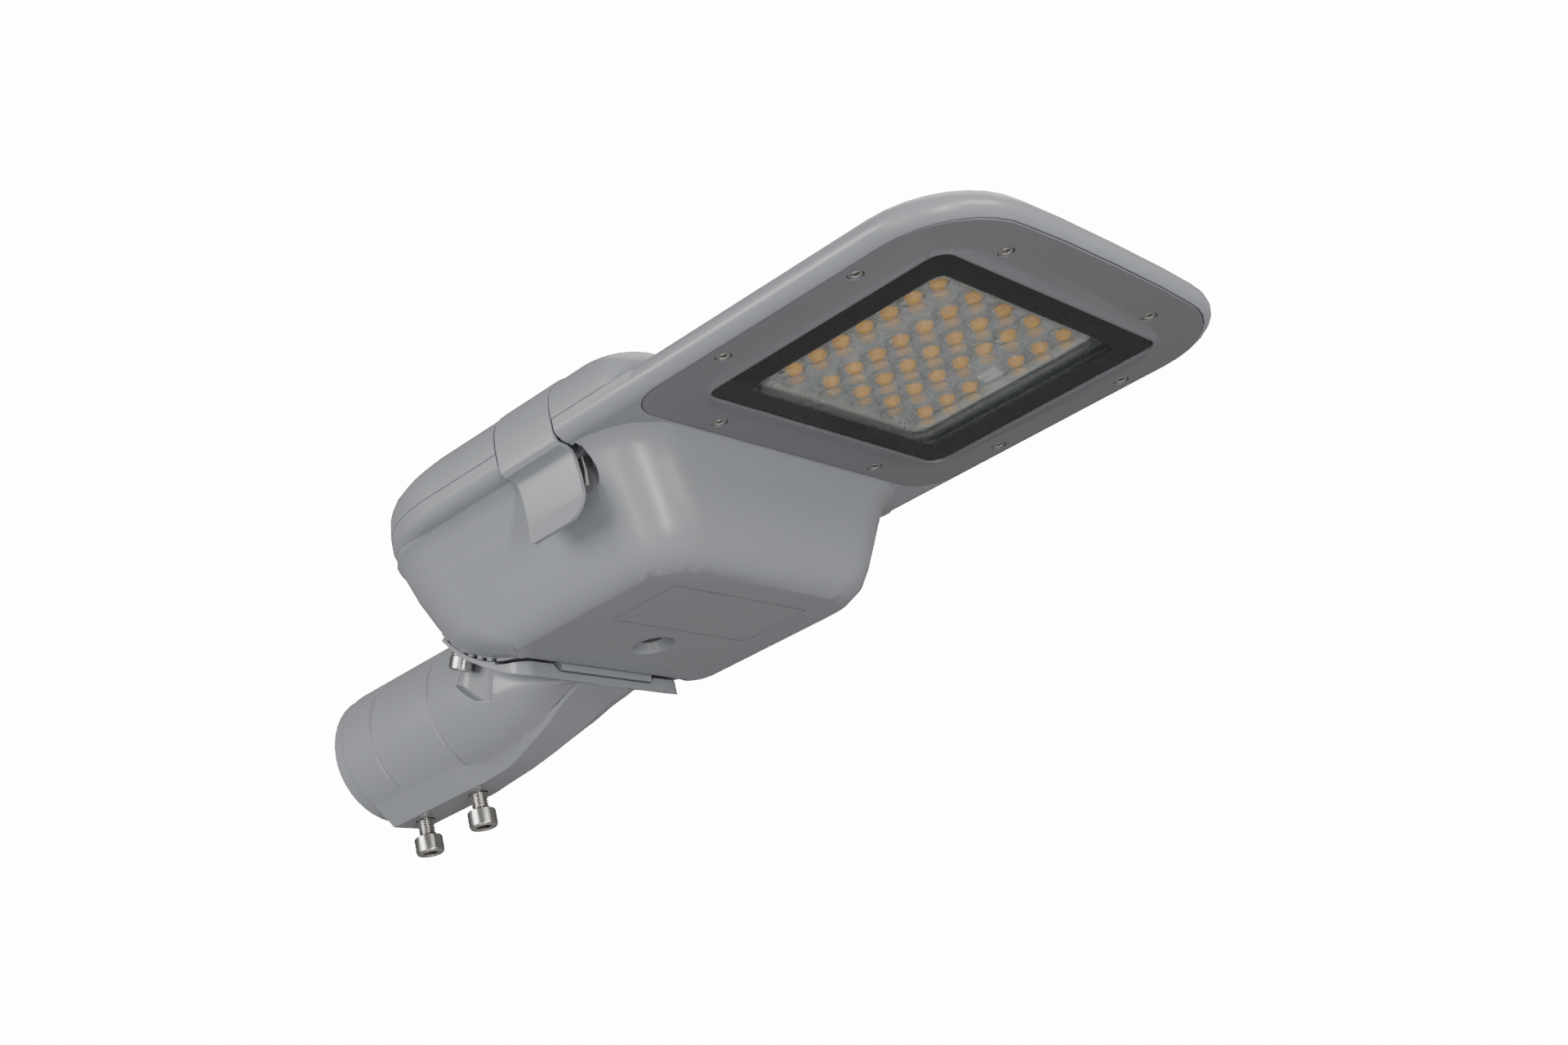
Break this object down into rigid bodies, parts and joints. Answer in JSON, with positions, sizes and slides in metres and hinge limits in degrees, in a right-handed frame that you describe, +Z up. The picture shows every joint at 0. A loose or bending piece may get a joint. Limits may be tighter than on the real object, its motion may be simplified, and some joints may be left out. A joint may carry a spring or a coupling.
{
  "type": "road lantern",
  "caption": "LED road lantern head with a latched gear cover, a glazed light window and a tilting spigot that clamps on a pole end.",
  "frame": {"origin": "centre of the pole socket's mouth", "axes": "+X along the pole arm into the lamp and on to its nose, +Z up, +Y to the side of the cover's hinge; the latch is on the -Y side"},
  "size_m": [0.5283, 0.2584, 0.155],
  "materials": {
    "grey_paint": "semi-gloss powder coat on die-cast aluminium",
    "frame_paint": "darker semi-gloss powder coat",
    "steel": "bright stainless",
    "zinc": "zinc plate",
    "rubber": "matte",
    "glass": "clear, with a black printed border",
    "acrylic": "clear moulded lens",
    "board": "white solder mask",
    "white_plastic": "satin",
    "black_plastic": "satin"
  },
  "bodies": {
    "pole_spigot": {"spigot_casting": "grey_paint"},
    "set_screw_rear": {"set_screw_rear": "steel"},
    "set_screw_front": {"set_screw_front": "steel"},
    "cover": {"cover": "grey_paint", "latch_pin": "steel"},
    "latch": {"latch": "grey_paint", "latch_spring": "steel"},
    "lamp_head": {"tilt_bolt_left": "steel", "tilt_bolt_right": "steel", "tilt_washer_left": "steel", "tilt_washer_right": "steel", "housing": "grey_paint", "light_frame": "frame_paint", "glass_cover": "glass", "glass_gasket": "rubber", "lens_plate": "acrylic", "led_board": "board", "frame_screw_1": "steel", "frame_screw_2": "steel", "frame_screw_3": "steel", "frame_screw_4": "steel", "frame_screw_5": "steel", "frame_screw_6": "steel", "frame_screw_7": "steel", "frame_screw_8": "steel", "lens_screw_1": "steel", "lens_screw_2": "steel", "lens_screw_3": "steel", "lens_screw_4": "steel", "gear_tray": "zinc", "led_driver": "white_plastic", "surge_protector": "black_plastic", "terminal_block": "white_plastic", "cable_clamp": "black_plastic", "tray_screw_1": "steel", "tray_screw_2": "steel", "tray_screw_3": "steel", "tray_screw_4": "steel", "cable_grommet": "rubber", "port_plug": "black_plastic", "cover_pin_rear": "steel", "cover_pin_front": "steel", "cover_gasket": "rubber"}
  },
  "joints": [
    {"name": "head_tilt", "type": "hinge", "parent": "pole_spigot", "child": "lamp_head", "pos_m": [0.1858, 0, 0.06], "axis": [0, -1, 0], "range_deg": [0, 10]},
    {"name": "cover_hinge", "type": "hinge", "parent": "lamp_head", "child": "cover", "pos_m": [0.225, 0.1294, 0.0536], "axis": [-1, 0, 0], "range_deg": [0, 85]},
    {"name": "latch_pivot", "type": "hinge", "parent": "cover", "child": "latch", "pos_m": [0.2682, -0.1098, 0.0764], "axis": [-1, 0, 0], "range_deg": [0, 75]},
    {"name": "set_screw_rear_slide", "type": "slide", "parent": "pole_spigot", "child": "set_screw_rear", "axis": [0, 0, 1], "range_m": [0, 0.009]},
    {"name": "set_screw_front_slide", "type": "slide", "parent": "pole_spigot", "child": "set_screw_front", "axis": [0, 0, 1], "range_m": [0, 0.009]}
  ]
}
